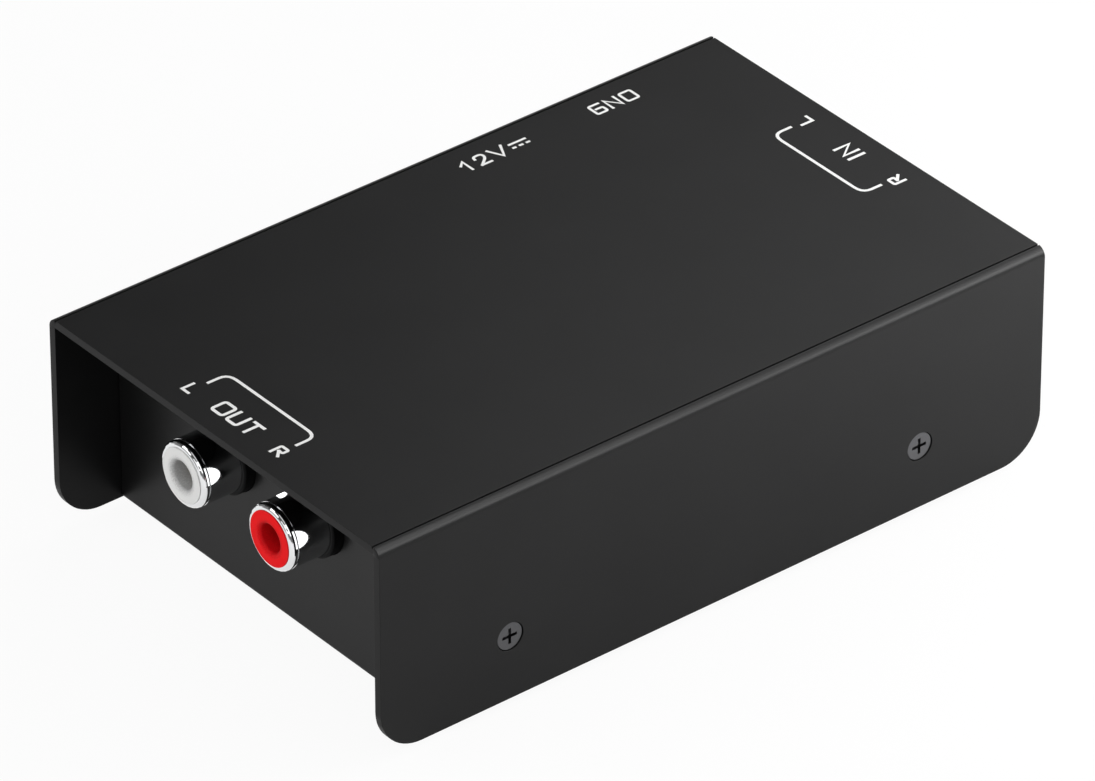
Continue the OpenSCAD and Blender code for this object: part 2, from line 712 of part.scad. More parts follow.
// Centre pin with its solder tail
module dc_jack_pin() color(nickel) at_jack() union() {
    rotate_extrude() polygon([
        [0, -jack_l + jack_tail_y.x], [jack_pin_seat_r, -jack_l + jack_tail_y.x],
        [jack_pin_seat_r, -jack_bore_l], [jack_pin_r, -jack_bore_l],
        [jack_pin_r, -jack_pin_set - jack_pin_r / 2], [jack_pin_r / 2, -jack_pin_set], [0, -jack_pin_set]
    ]);
    translate([-tail_w / 2, 0, -jack_l + jack_tail_y.x - tail_t / 2])
        cube([tail_w, jack_axis_h + board_t + lead_below, tail_t]);
}

// Leaf that presses on the plug's sleeve, with its solder tail
module dc_jack_spring() color(nickel) at_jack() union() {
    translate([-spring_w / 2, jack_bore_r, -jack_bore_l + snug])
        cube([spring_w, tail_t, jack_bore_l - past - 2 * snug]);
    translate([-tail_w / 2, jack_bore_r, -jack_l + jack_tail_y.y - tail_t / 2])
        cube([tail_w, jack_axis_h - jack_bore_r + board_t + lead_below, tail_t]);
}

// ---------- ground terminal ----------

// Local frame of the ground screw: +Z out of the case, origin on its axis at the given Y
module at_ground(y) translate([ground_x, y, ground_z]) rotate([-90, 0, 0]) children();

module ground_terminal() color(brass) difference() {
    union() {
        translate([ground_x - block_w / 2, block_back, board_top])
            cube([block_w, block_l, ground_z - board_top + block_above]);
        translate([ground_x - block_w / 2, block_back, nose_z])
            cube([block_w, nose_y - block_back, ground_z - nose_z + block_above]);
        for (s = [-1, 1]) translate([ground_x + s * block_pin_pitch / 2, block_back + block_l / 2,
            board_z - lead_below]) cylinder(h = board_t + lead_below + past, r = block_pin_r);
    }
    at_ground(block_back + block_back_t)
        cylinder(h = nose_y - block_back - block_back_t + past, r = ground_r + ground_fit);
}

module ground_washer() color(nickel) at_ground(case_w / 2 + washer_gap) difference() {
    cylinder(h = washer_t, r = washer_r);
    translate([0, 0, -past]) cylinder(h = washer_t + 2 * past, r = ground_r + ground_fit);
}

module ground_screw() color(nickel) at_ground(ground_head_y) difference() {
    union() {
        rotate_extrude() polygon([
            [0, -ground_l], [ground_r - knob_chamfer, -ground_l], [ground_r, -ground_l + knob_chamfer],
            [ground_r, 0], [shoulder_r, 0], [shoulder_r, shoulder_h + past], [0, shoulder_h + past]
        ]);
        intersection() {
            translate([0, 0, shoulder_h]) linear_extrude(knob_h) polygon([
                for (i = [0:2 * knurl_n - 1]) let (a = i * 180 / knurl_n, r = knob_r - (i % 2) * knurl_d)
                    [r * cos(a), r * sin(a)]
            ]);
            translate([0, 0, shoulder_h]) rotate_extrude() polygon([
                [0, 0], [knob_r - knob_chamfer, 0], [knob_r + snug, knob_chamfer],
                [knob_r + snug, knob_h - knob_chamfer], [knob_r - knob_chamfer, knob_h], [0, knob_h]
            ]);
        }
    }
    translate([-knob_r - past, -slot_w / 2, shoulder_h + knob_h - slot_depth])
        cube([2 * knob_r + 2 * past, slot_w, slot_depth + past]);
}

// ---------- electronic parts ----------

function chip_leads(at) = [
    for (i = [0:3], s = [-1, 1]) [at.x + (i - 1.5) * chip_pin_pitch, at.y + s * chip_row / 2]
];
function regulator_leads() = [for (i = [-1:1]) [regulator_at.x + i * regulator_pitch, regulator_at.y]];

// Eight-pin chip with a notch at its first end
module chip(at) color(black) union() {
    difference() {
        translate([at.x - chip_l / 2, at.y - chip_w / 2, board_top + chip_lift])
            cube([chip_l, chip_w, chip_h]);
        translate([at.x - chip_l / 2, at.y, board_top + chip_lift + chip_h - chip_notch_d])
            cylinder(h = chip_notch_d + past, r = chip_notch_r);
    }
    leads(chip_leads(at), board_top + chip_lift + chip_h / 2 + lead_r);
    for (p = chip_leads(at), s = sign(p.y - at.y))
        translate([p.x, at.y + s * (chip_w / 2 - chip_lead_in), board_top + chip_lift + chip_h / 2])
            rotate([-90 * s, 0, 0]) cylinder(h = (chip_row - chip_w) / 2 + chip_lead_in, r = lead_r);
}

// Electrolytic capacitor: sleeved can with a bead near its foot
module can_capacitor(at, r, h, pitch, tint) color(tint) union() {
    sleeve = 0.3;    // width of the sleeve's turned-in edges
    seal = 0.2;      // depth of the rubber seal and of the can's top inside those edges
    bead_at = 1.6;   // height of the bead
    bead = 0.4;      // half the bead's width
    translate([at.x, at.y, board_top]) rotate_extrude() polygon([
        [0, seal], [r - sleeve, seal], [r - sleeve, 0], [r, sleeve],
        [r, bead_at - bead], [r - sleeve, bead_at], [r, bead_at + bead],
        [r, h - sleeve], [r - sleeve, h], [r - 2 * sleeve, h],
        [r - 2 * sleeve, h - seal], [0, h - seal]
    ]);
    leads(pair_x(at, pitch), board_top + lead_in);
}

module coupling_capacitor(at)
    can_capacitor(at, small_cap_r, small_cap_h, small_cap_pitch, coupling_tint);

module supply_capacitor(at) can_capacitor(at, big_cap_r, big_cap_h, big_cap_pitch, supply_tint);

module film_capacitor(at, along_y) color(film_tint) union() {
    translate([at.x, at.y, board_top]) rotate([0, 0, along_y ? 90 : 0]) rotate([90, 0, 0])
        translate([0, 0, -film_w / 2]) linear_extrude(film_w) tab_outline(film_l, film_h, film_round);
    leads(along_y ? pair_y(at, film_pitch) : pair_x(at, film_pitch), board_top + lead_in);
}

// Axial part lying along X, its two leads bent down into the board
module axial_part(at, l, r, pitch, tint) color(tint) {
    z = board_top + axial_lift + r;
    chamfer = 0.25;
    cap_l = l / 4;      // length of the two thicker ends
    waist_r = r - 0.15;
    translate([at.x - l / 2, at.y, z]) rotate([0, 90, 0]) rotate_extrude() polygon([
        [0, 0], [r - chamfer, 0], [r, chamfer], [r, cap_l - chamfer], [waist_r, cap_l],
        [waist_r, l - cap_l], [r, l - cap_l + chamfer], [r, l - chamfer], [r - chamfer, l], [0, l]
    ]);
    translate([at.x - pitch / 2, at.y, z]) rotate([0, 90, 0]) cylinder(h = pitch, r = lead_r);
    leads(pair_x(at, pitch), z);
    for (p = pair_x(at, pitch)) translate([p.x, p.y, z]) sphere(lead_r, $fn = 16);
}

module resistor(at) axial_part(at, resistor_l, resistor_r, resistor_pitch, resistor_tint);

module voltage_regulator() color(black) union() {
    translate([regulator_at.x, regulator_at.y, board_top + regulator_lift]) intersection() {
        cylinder(h = regulator_h, r = regulator_r);
        translate([-regulator_r, -regulator_r, 0])
            cube([2 * regulator_r, regulator_r + regulator_flat, regulator_h]);
    }
    leads(regulator_leads(), board_top + regulator_lift + lead_in);
}

module supply_choke() color(ferrite_tint) union() {
    translate([choke_at.x, choke_at.y, board_top]) rotate_extrude() polygon([
        [0, 0], [choke_r, 0], [choke_r, choke_flange_h], [choke_core_r, choke_flange_h],
        [choke_core_r, choke_h - choke_flange_h], [choke_r, choke_h - choke_flange_h],
        [choke_r, choke_h], [0, choke_h]
    ]);
    leads(pair_x(choke_at, choke_pitch), board_top + lead_in);
}

top_cover();
chassis();
cover_screws();
main_board();
board_standoffs();
board_screws();
socket_housing(OUT, LEFT);  // out_left_housing
socket_shell(OUT, LEFT);  // out_left_shell
socket_insulator(OUT, LEFT, signal_white);  // out_left_insulator
socket_contact(OUT, LEFT);  // out_left_contact
socket_housing(OUT, RIGHT);  // out_right_housing
socket_shell(OUT, RIGHT);  // out_right_shell
socket_insulator(OUT, RIGHT, signal_red);  // out_right_insulator
socket_contact(OUT, RIGHT);  // out_right_contact
socket_housing(IN, LEFT);  // in_left_housing
socket_shell(IN, LEFT);  // in_left_shell
socket_insulator(IN, LEFT, signal_white);  // in_left_insulator
socket_contact(IN, LEFT);  // in_left_contact
socket_housing(IN, RIGHT);  // in_right_housing
socket_shell(IN, RIGHT);  // in_right_shell
socket_insulator(IN, RIGHT, signal_red);  // in_right_insulator
socket_contact(IN, RIGHT);  // in_right_contact
dc_jack_housing();
dc_jack_pin();
dc_jack_spring();
ground_terminal();
ground_screw();
ground_washer();
foot(OUT, NEAR);  // foot_out_near
foot(OUT, REAR);  // foot_out_rear
foot(IN, NEAR);  // foot_in_near
foot(IN, REAR);  // foot_in_rear
chip(input_chip_at);  // input_amplifier_chip
chip(output_chip_at);  // output_amplifier_chip
voltage_regulator();
axial_part(diode_at, diode_l, diode_r, resistor_pitch, black);  // polarity_diode
supply_choke();
supply_capacitor(supply_in_at);  // supply_capacitor_in
supply_capacitor(supply_out_at);  // supply_capacitor_out
coupling_capacitor(side_of(input_cap_at, LEFT));  // left_input_capacitor
coupling_capacitor(side_of(output_cap_at, LEFT));  // left_output_capacitor
film_capacitor(side_of(filter_a_at, LEFT), false);  // left_filter_capacitor_a
film_capacitor(side_of(filter_b_at, LEFT), true);  // left_filter_capacitor_b
resistor(side_of(load_at, LEFT));  // left_load_resistor
resistor(side_of(gain_at, LEFT));  // left_gain_resistor
resistor(side_of(filter_r_at, LEFT));  // left_filter_resistor
coupling_capacitor(side_of(input_cap_at, RIGHT));  // right_input_capacitor
coupling_capacitor(side_of(output_cap_at, RIGHT));  // right_output_capacitor
film_capacitor(side_of(filter_a_at, RIGHT), false);  // right_filter_capacitor_a
film_capacitor(side_of(filter_b_at, RIGHT), true);  // right_filter_capacitor_b
resistor(side_of(load_at, RIGHT));  // right_load_resistor
resistor(side_of(gain_at, RIGHT));  // right_gain_resistor
resistor(side_of(filter_r_at, RIGHT));  // right_filter_resistor
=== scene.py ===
"""Looks of the phono preamp: materials, edges, printed legend, floor, light and camera."""

import math

import bmesh
import bpy
from mathutils import Matrix, Vector


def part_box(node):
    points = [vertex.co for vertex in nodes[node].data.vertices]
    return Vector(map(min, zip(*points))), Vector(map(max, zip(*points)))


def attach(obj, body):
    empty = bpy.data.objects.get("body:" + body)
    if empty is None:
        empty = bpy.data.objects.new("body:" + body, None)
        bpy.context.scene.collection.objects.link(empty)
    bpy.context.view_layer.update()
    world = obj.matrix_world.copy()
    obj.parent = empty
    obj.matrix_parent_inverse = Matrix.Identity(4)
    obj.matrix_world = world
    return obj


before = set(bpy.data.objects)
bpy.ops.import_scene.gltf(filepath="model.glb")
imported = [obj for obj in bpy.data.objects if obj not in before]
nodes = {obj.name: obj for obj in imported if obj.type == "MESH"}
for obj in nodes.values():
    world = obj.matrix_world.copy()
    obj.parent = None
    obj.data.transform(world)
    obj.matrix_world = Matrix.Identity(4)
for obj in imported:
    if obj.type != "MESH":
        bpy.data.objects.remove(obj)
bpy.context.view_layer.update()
MM = 0.001


def middle(node):
    """Middle of a CAD node's box."""
    low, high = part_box(node)
    return (low + high) / 2


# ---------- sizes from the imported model, in metres ----------

_, cover_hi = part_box("top_cover")
foot_lo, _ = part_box("foot_out_near")
TOP = cover_hi.z
FLOOR_Z = foot_lo.z
HALF_L, HALF_W = cover_hi.x, cover_hi.y
SOCKET_Y, SOCKET_Z = middle("out_left_insulator").yz
shell_lo, shell_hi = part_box("out_left_shell")
SHELL_FRONT_X = shell_lo.x
SHELL_R = (shell_hi.y - shell_lo.y) / 2
SUPPLY_X = middle("dc_jack_pin").x
GROUND_X = middle("ground_washer").x

# ---------- camera at the photograph's viewing angle ----------

AZIMUTH, ELEVATION = 39.018, 33.667  # degrees
CAMERA_DISTANCE = 1.1882  # metres
SENSOR_WIDTH, LENS = 36, 337.57  # millimetres
FRAMING_RIGHT, FRAMING_UP = -0.255 * MM, -0.703 * MM  # from the case's middle to the picture's


def make_camera():
    a, e = math.radians(AZIMUTH), math.radians(ELEVATION)
    back = Vector((-math.sin(a) * math.cos(e), -math.cos(a) * math.cos(e), math.sin(e)))
    turn = (-back).to_track_quat("-Z", "Y")
    right, up = turn @ Vector((1, 0, 0)), turn @ Vector((0, 1, 0))
    data = bpy.data.cameras.new("camera")
    data.sensor_width = SENSOR_WIDTH
    data.lens = LENS
    cam = bpy.data.objects.new("camera", data)
    bpy.context.scene.collection.objects.link(cam)
    aim = Vector((0, 0, TOP / 2)) + right * FRAMING_RIGHT + up * FRAMING_UP
    cam.rotation_mode = "QUATERNION"
    cam.rotation_quaternion = turn
    cam.location = aim + back * CAMERA_DISTANCE
    bpy.context.scene.camera = cam


# ---------- materials ----------

NOISE_LOW, NOISE_HIGH = 0.3, 0.7  # what a noise texture mostly stays between
SOFT_DETAIL, GRAIN_DETAIL = 3.0, 2.0  # octaves of noise in patches and in grain


class Material:
    """A material made of nodes, with the means to add nodes and to join them."""

    def __init__(self, name):
        self.mat = bpy.data.materials.new(name)
        self.mat.use_nodes = True
        self.tree = self.mat.node_tree

    def node(self, kind, **settings):
        made = self.tree.nodes.new(kind)
        for key, value in settings.items():
            setattr(made, key, value)
        return made

    def link(self, output, socket):
        self.tree.links.new(output, socket)

    def math(self, operation, a, b=None):
        """One sum: each of `a` and `b` is a socket or a plain number."""
        made = self.node("ShaderNodeMath", operation=operation)
        for socket, value in zip(made.inputs, (a, b)):
            if isinstance(value, (int, float)):
                socket.default_value = value
            elif value is not None:
                self.link(value, socket)
        return made.outputs[0]


class Shader(Material):
    """A Principled material with procedural detail in object space."""

    def __init__(self, name, color, roughness, metallic=0.0, specular=0.5):
        super().__init__(name)
        self.bsdf = self.tree.nodes["Principled BSDF"]
        self.color = color
        self.roughness = roughness
        self.set("Base Color", (*color, 1))
        self.set("Roughness", roughness)
        self.set("Metallic", metallic)
        self.set("Specular IOR Level", specular)
        self.coords = self.node("ShaderNodeTexCoord").outputs["Object"]
        self.normal = None

    def set(self, socket, value):
        self.bsdf.inputs[socket].default_value = value

    def noise(self, size, detail):
        """Noise with features of about `size` metres."""
        tex = self.node("ShaderNodeTexNoise")
        tex.inputs["Scale"].default_value = 1 / size
        tex.inputs["Detail"].default_value = detail
        self.link(self.coords, tex.inputs["Vector"])
        return tex.outputs["Fac"]

    def patches(self, size, low, high, detail=SOFT_DETAIL):
        """Noise that mostly stays between `low` and `high`."""
        out = self.node("ShaderNodeMapRange")
        out.inputs["From Min"].default_value = NOISE_LOW
        out.inputs["From Max"].default_value = NOISE_HIGH
        out.inputs["To Min"].default_value = low
        out.inputs["To Max"].default_value = high
        self.link(self.noise(size, detail), out.inputs["Value"])
        return out.outputs["Result"]

    def blend_color(self, share, start, end):
        """Makes the base colour `start` where `share` is 0 and `end` where it is 1."""
        mix = self.node("ShaderNodeMix", data_type="RGBA")
        mix.inputs["A"].default_value = (*start, 1)
        mix.inputs["B"].default_value = (*end, 1)
        self.link(share, mix.inputs["Factor"])
        self.link(mix.outputs["Result"], self.bsdf.inputs["Base Color"])

    def vary_roughness(self, size, amount):
        out = self.patches(size, self.roughness - amount, self.roughness + amount)
        self.link(out, self.bsdf.inputs["Roughness"])

    def vary_color(self, size, other, detail=SOFT_DETAIL):
        """Blends towards `other` in soft patches."""
        self.blend_color(self.patches(size, 0, 1, detail), self.color, other)

    def grain(self, size, depth, strength):
        """Adds bumps of `depth` metres, about `size` metres wide."""
        out = self.node("ShaderNodeBump")
        out.inputs["Strength"].default_value = strength
        out.inputs["Distance"].default_value = depth
        self.link(self.noise(size, GRAIN_DETAIL), out.inputs["Height"])
        if self.normal is not None:
            self.link(self.normal, out.inputs["Normal"])
        self.normal = out.outputs["Normal"]
        self.link(self.normal, self.bsdf.inputs["Normal"])


def scaled(color, factor):
    """The colour made lighter or darker."""
    return tuple(c * factor for c in color)


def satin_black(name, color, roughness, specular):
    """Baked satin paint on sheet metal: fine orange peel and very slight clouding."""
    s = Shader(name, color, roughness, specular=specular)
    s.vary_roughness(size=2.5 * MM, amount=0.008)
    s.vary_color(size=9 * MM, other=scaled(color, 1.3))
    s.grain(size=0.35 * MM, depth=0.0012 * MM, strength=0.5)
    s.grain(size=0.09 * MM, depth=0.0008 * MM, strength=0.5)
    return s.mat


def metal(name, color, roughness, cloud=0.5 * MM, amount=0.04, depth=0.0008 * MM):
    """Bare or plated metal: clouds of gloss, and a grain a little finer than they are."""
    s = Shader(name, color, roughness, metallic=1.0)
    s.vary_roughness(size=cloud, amount=amount)
    s.grain(size=0.6 * cloud, depth=depth, strength=0.5)
    return s.mat


def plastic(name, color, roughness, specular=0.5, depth=0.001 * MM):
    """Moulded plastic, rubber, lacquer or ink."""
    s = Shader(name, color, roughness, specular=specular)
    s.vary_roughness(size=1.5 * MM, amount=0.04)
    s.vary_color(size=3 * MM, other=scaled(color, 0.92))
    s.grain(size=0.25 * MM, depth=depth, strength=0.6)
    return s.mat


def board_mask(name, color, track_color, roughness):
    """Solder mask, with soft patches of `track_color` for the copper tracks under it."""
    s = Shader(name, color, roughness)
    s.vary_color(size=2.2 * MM, other=track_color, detail=1.0)
    s.vary_roughness(size=1.0 * MM, amount=0.05)
    s.grain(size=0.6 * MM, depth=0.01 * MM, strength=0.4)
    return s.mat


# A plug hole is painted darker, as shade, up to the first of these distances from its axis and unshaded
# from the second one on.
# Noise adds up to the speckle, half of it on average, to the distance that is compared with them,
# speckling the painted shade.
HOLE_SHADE_R, HOLE_UNSHADED_R, HOLE_SHADE_SPECKLE = 2.0 * MM, 3.2 * MM, 1.0 * MM


def insulator(name, color, hole_shade_color, roughness, specular):
    """Moulded insulator whose plug hole has painted shade: darker by the distance from its socket's axis.
    """
    s = Shader(name, color, roughness, specular=specular)
    s.vary_roughness(size=1.5 * MM, amount=0.04)
    s.grain(size=0.25 * MM, depth=0.001 * MM, strength=0.6)
    # painted shade: the hole's colour goes darker towards the socket's axis, as if the hole were in shadow
    where = s.node("ShaderNodeSeparateXYZ")
    s.link(s.coords, where.inputs[0])
    off_y = s.math("SUBTRACT", s.math("ABSOLUTE", where.outputs["Y"]), SOCKET_Y)
    off_z = s.math("SUBTRACT", where.outputs["Z"], SOCKET_Z)
    square = s.math("ADD", s.math("MULTIPLY", off_y, off_y), s.math("MULTIPLY", off_z, off_z))
    speckle = s.math("MULTIPLY", s.noise(0.14 * MM, GRAIN_DETAIL), HOLE_SHADE_SPECKLE)
    edge = s.node("ShaderNodeMapRange", interpolation_type="SMOOTHSTEP")
    edge.inputs["From Min"].default_value = HOLE_SHADE_R
    edge.inputs["From Max"].default_value = HOLE_UNSHADED_R
    s.link(s.math("ADD", s.math("SQRT", square), speckle), edge.inputs["Value"])
    s.blend_color(edge.outputs["Result"], hole_shade_color, color)
    return s.mat


PAINT = (0.0032, 0.0032, 0.0033)
FINISHES = {  # the material of each of the record's material slots
    "cover_black": satin_black("cover_paint", PAINT, 0.36, specular=0.20),
    "chassis_black": satin_black("chassis_paint", PAINT, 0.39, specular=0.37),
    "screw_black": metal("screw_zinc", (0.12, 0.12, 0.125), 0.32),
    "plated_steel": metal("plated_steel", (0.62, 0.61, 0.59), 0.30, cloud=0.8 * MM),
    "shell_chrome": metal("shell_chrome", (0.55, 0.555, 0.56), 0.06, cloud=1.5 * MM, amount=0.02,
                          depth=0.0002 * MM),
    "socket_black": plastic("socket_plastic", (0.003, 0.003, 0.0032), 0.45, specular=0.08),
    "contact_brass": metal("brass", (0.75, 0.56, 0.24), 0.22),
    "foot_rubber": plastic("rubber", (0.014, 0.014, 0.014), 0.75, specular=0.3, depth=0.004 * MM),
    "chip_epoxy": plastic("epoxy", (0.012, 0.012, 0.013), 0.5),
    "supply_sleeve": plastic("supply_sleeve", (0.012, 0.018, 0.12), 0.3),
    "coupling_sleeve": plastic("coupling_sleeve", (0.01, 0.09, 0.04), 0.3),
    "film_red": plastic("film", (0.4, 0.02, 0.012), 0.22),
    "resistor_blue": plastic("resistor_paint", (0.12, 0.30, 0.52), 0.3),
    "ferrite": plastic("ferrite", (0.045, 0.032, 0.026), 0.6, specular=0.4, depth=0.003 * MM),
    "board_green": board_mask("board_mask", (0.006, 0.075, 0.028), (0.004, 0.045, 0.018), 0.28),
    # the second colour of each insulator is the painted shade of its plug hole
    "white_insulator": insulator("white_plastic", (0.82, 0.82, 0.81), (0.36, 0.36, 0.36), 0.45,
                                 specular=0.3),
    "red_insulator": insulator("red_plastic", (0.88, 0.006, 0.009), (0.48, 0.003, 0.006), 0.5,
                               specular=0.08),
}
INK = plastic("ink", (0.90, 0.90, 0.89), 0.6, specular=0.2)


def finish_nodes():
    """Gives each CAD node the material of its slot."""
    for node in nodes.values():
        for slot in node.material_slots:
            slot.material = FINISHES[slot.material.name.split(".")[0]]


# ---------- rounded edges of the two sheets ----------

WELD_GAP = 0.002 * MM
EDGE_SEGMENTS = 2
SHARP_ANGLE = 40  # degrees; flatter edges are part of a round face


def soften(node, width):
    """Small rounded edges on a CAD node, by modifiers, with its large faces shaded flat."""
    weld = node.modifiers.new("weld", "WELD")
    weld.merge_threshold = WELD_GAP
    bevel = node.modifiers.new("edges", "BEVEL")
    bevel.width = width
    bevel.segments = EDGE_SEGMENTS
    bevel.limit_method = "ANGLE"
    bevel.angle_limit = math.radians(SHARP_ANGLE)
    bevel.use_clamp_overlap = True
    shading = node.modifiers.new("shading", "WEIGHTED_NORMAL")
    shading.mode = "FACE_AREA"


# ---------- printed legend ----------

INK_HEIGHT = 0.012 * MM
INK_SINK = 0.004 * MM  # how far the ink reaches into the cover
STROKE_STEP = 0.05  # share by which each stroke of a word is lower, so that crossing strokes don't flicker
BRACKET_LINE, BRACKET_CORNER = 0.40 * MM, 1.6 * MM
CURVE_STEPS = 5  # pieces in each rounded corner
MITRE_LIMIT = 0.6  # keeps sharp corners from growing into spikes
SAME_POINT = 1e-9

# Each sign fills a cell one unit wide and high: (corner rounding, points of the stroke's middle line).
# A stroke whose last point is its first is closed.
GLYPHS = {
    "O": [(0.22, [(0, 0), (0, 1), (1, 1), (1, 0), (0, 0)])],
    "U": [(0.22, [(0, 1), (0, 0), (1, 0), (1, 1)])],
    "T": [(0, [(0, 1), (1, 1)]), (0, [(0.46, 1), (0.46, 0)])],
    "I": [(0, [(0, 0), (0, 1)])],
    "N": [(0, [(0, 0), (0, 1), (1, 0), (1, 1)])],
    "L": [(0, [(0, 1), (0, 0), (1, 0)])],
    "R": [(0.16, [(0, 0), (0, 1), (0.92, 1), (0.92, 0.48), (0.4, 0.48)]), (0, [(0.4, 0.48), (1, 0)])],
    "G": [(0.18, [(1, 1), (0, 1), (0, 0), (1, 0), (1, 0.52), (0.34, 0.52)])],
    "D": [(0.18, [(0, 0), (0, 1), (1, 1), (1, 0), (0, 0)])],
    "V": [(0, [(0, 1), (0.5, 0), (1, 1)])],
    "1": [(0, [(0, 0.66), (1, 1), (1, 0)])],
    "2": [(0.45, [(0, 0.72), (0.08, 1), (0.94, 1), (0.98, 0.58), (0, 0)]), (0, [(0, 0), (1, 0)])],
    "dc": [(0, [(0, 0.72), (1, 0.72)]), (0, [(0, 0.3), (0.1, 0.3)]), (0, [(0.43, 0.3), (0.56, 0.3)]),
           (0, [(0.88, 0.3), (1, 0.3)])],
}
OUT_SIDE, IN_SIDE = -1, 1  # the sign of X at either end of the case


def is_closed(points):
    return (points[0] - points[-1]).length < SAME_POINT


def rounded_path(points, r):
    """The points with each corner replaced by a smooth curve that starts `r` before it."""
    pts = [Vector(p) for p in points]
    if r == 0:
        return pts
    closed = is_closed(pts)
    corners = pts[:-1] if closed else pts[1:-1]
    out = [] if closed else [pts[0]]
    for i, p in enumerate(corners):
        before = corners[i - 1] if closed else pts[i]
        after = corners[(i + 1) % len(corners)] if closed else pts[i + 2]
        a = p + (before - p) * min(0.5, r / (before - p).length)
        b = p + (after - p) * min(0.5, r / (after - p).length)
        for k in range(CURVE_STEPS + 1):
            t = k / CURVE_STEPS
            out.append(a * (1 - t) ** 2 + p * 2 * t * (1 - t) + b * t * t)
    out.append(out[0].copy() if closed else pts[-1])
    return out


def without_repeats(points):
    out = [points[0]]
    for p in points[1:]:
        if (p - out[-1]).length > SAME_POINT:
            out.append(p)
    return out


def stroke_faces(bm, points, width, z_low, z_high):
    """One stroke as a closed flat ribbon with mitred corners and square ends."""
    pts = without_repeats(points)
    closed = is_closed(pts)
    if closed:
        pts = pts[:-1]
    n = len(pts)
    half = width / 2
    rows = []
    for i, p in enumerate(pts):
        first, last = not closed and i == 0, not closed and i == n - 1
        after = (p - pts[i - 1] if last else pts[(i + 1) % n] - p).normalized()
        before = after if first else (p - pts[i - 1]).normalized()
        across = Vector((-(before + after).y, (before + after).x)).normalized()
        reach = half / max(MITRE_LIMIT, across.dot(Vector((-before.y, before.x))))
        end = (-after if first else before if last else Vector((0, 0))) * half
        left, right = p + end + across * reach, p + end - across * reach
        ring = ((left, z_low), (left, z_high), (right, z_high), (right, z_low))
        rows.append([bm.verts.new((q.x, q.y, z)) for q, z in ring])
    for i in range(n if closed else n - 1):
        j = (i + 1) % n
        for k in range(4):
            m = (k + 1) % 4
            bm.faces.new((rows[i][k], rows[i][m], rows[j][m], rows[j][k]))
    if not closed:
        bm.faces.new(rows[0][::-1])
        bm.faces.new(rows[-1])


def print_sign(name, strokes, width, place):
    """Makes one printed sign from strokes in the plane, put on the cover by the matrix `place`."""
    bm = bmesh.new()
    for i, points in enumerate(strokes):
        stroke_faces(bm, points, width, -INK_SINK, INK_HEIGHT * (1 - STROKE_STEP * i))
    bmesh.ops.recalc_face_normals(bm, faces=bm.faces)
    mesh = bpy.data.meshes.new(name)
    bm.to_mesh(mesh)
    bm.free()
    mesh.transform(place)
    piece = bpy.data.objects.new(name, mesh)
    bpy.context.scene.collection.objects.link(piece)
    mesh.materials.append(INK)
    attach(piece, "case")


def print_word(name, x, y, turn, height, line, signs):
    """`x` and `y`, in metres, are the middle of the word's foot, and `turn` is its direction in degrees.

    `height`, `line` and `signs`, a list of (sign, left, width), are in mm and go by the strokes' middles.
    """
    _, last_left, last_width = signs[-1]
    start = -(last_left + last_width) / 2
    strokes = []
    for sign, left, width in signs:
        for r, points in GLYPHS[sign]:
            sized = [(start + left + along * width, up * height) for along, up in points]
            strokes.append([p * MM for p in rounded_path(sized, r * min(width, height))])
    place = Matrix.Translation((x, y, TOP)) @ Matrix.Rotation(math.radians(turn), 4, "Z")
    print_sign(name, strokes, line * MM, place)


def print_bracket(name, side, line_inset, tip_inset):
    """Bracket over one pair of sockets: its arms run along the sockets' axes, towards the cover's edge."""
    line_x, tip_x = side * (HALF_L - line_inset), side * (HALF_L - tip_inset)
    points = [(tip_x, -SOCKET_Y), (line_x, -SOCKET_Y), (line_x, SOCKET_Y), (tip_x, SOCKET_Y)]
    print_sign(name, [rounded_path(points, BRACKET_CORNER)], BRACKET_LINE, Matrix.Translation((0, 0, TOP)))


def make_legend():
    """The connector marks, placed by the cover's edges and by the connectors that they name."""
    print_bracket("legend_out_bracket", OUT_SIDE, line_inset=8.64 * MM, tip_inset=5.85 * MM)
    print_bracket("legend_in_bracket", IN_SIDE, line_inset=8.64 * MM, tip_inset=5.95 * MM)
    out_word_x, out_letter_x = -HALF_L + 2.90 * MM, -HALF_L + 2.80 * MM
    in_x = HALF_L - 2.94 * MM
    print_word("legend_out", out_word_x, 0.29 * MM, turn=-90, height=2.13, line=0.42,
               signs=[("O", 0, 1.94), ("U", 2.72, 1.76), ("T", 5.36, 1.66)])
    print_word("legend_out_left", out_letter_x, SOCKET_Y + 0.355 * MM, turn=-90, height=1.63, line=0.38,
               signs=[("L", 0, 1.15)])
    print_word("legend_out_right", out_letter_x, -SOCKET_Y + 0.24 * MM, turn=-90, height=1.63, line=0.38,
               signs=[("R", 0, 1.32)])
    print_word("legend_in", in_x, -0.285 * MM, turn=90, height=2.20, line=0.42,
               signs=[("I", 0, 1), ("N", 0.98, 1.65)])
    print_word("legend_in_left", in_x, SOCKET_Y + 0.085 * MM, turn=90, height=1.60, line=0.38,
               signs=[("L", 0, 1.15)])
    print_word("legend_in_right", in_x, -SOCKET_Y - 0.27 * MM, turn=90, height=1.60, line=0.38,
               signs=[("R", 0, 1.32)])
    print_word("legend_supply", SUPPLY_X - 0.125 * MM, HALF_W - 6.00 * MM, turn=0, height=2.0, line=0.35,
               signs=[("1", 0, 0.72), ("2", 2.18, 1.40), ("V", 4.45, 2.0), ("dc", 7.35, 2.30)])
    print_word("legend_ground", GROUND_X + 0.14 * MM, HALF_W - 5.90 * MM, turn=0, height=1.92, line=0.35,
               signs=[("G", 0, 1.48), ("N", 2.28, 1.55), ("D", 4.62, 1.66)])


# ---------- floor and backdrop ----------

STAGE_R, WALL_H = 3.5, 1.2  # metres
STAGE_SEGMENTS = 96
FLOOR_GAP = 0.02 * MM  # keeps the floor's plane off the undersides of the feet
STAGE_COLOR = (0.82, 0.82, 0.82)


